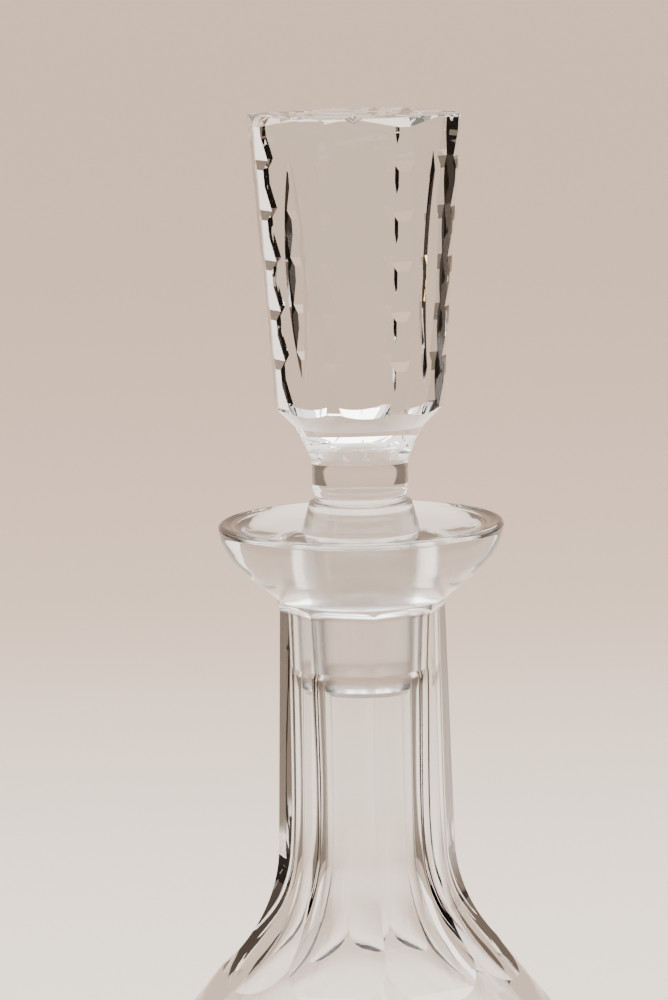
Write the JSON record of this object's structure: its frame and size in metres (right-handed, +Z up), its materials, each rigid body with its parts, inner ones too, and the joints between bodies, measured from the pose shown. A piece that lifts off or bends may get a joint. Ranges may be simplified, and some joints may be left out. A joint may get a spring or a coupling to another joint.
{
  "type": "wine decanter",
  "caption": "Clear cut-crystal wine decanter with a panelled neck, flared saucer rim and a tall octagonal ground-in stopper.",
  "frame": {"origin": "centre of the flat foot, on the surface that the decanter stands on", "axes": "+Z up through the mouth and the stopper; -Y is the side seen in the front view"},
  "size_m": [0.1282, 0.1282, 0.328],
  "materials": {
    "vessel_crystal": "polished clear lead crystal",
    "stopper_crystal": "polished clear lead crystal with a satin ground plug"
  },
  "bodies": {
    "vessel": {"decanter_body": "vessel_crystal"},
    "stopper": {"stopper": "stopper_crystal"}
  },
  "joints": [
    {"name": "stopper_lift", "type": "slide", "parent": "vessel", "child": "stopper", "axis": [0, 0, 1], "range_m": [0, 0.09]}
  ]
}
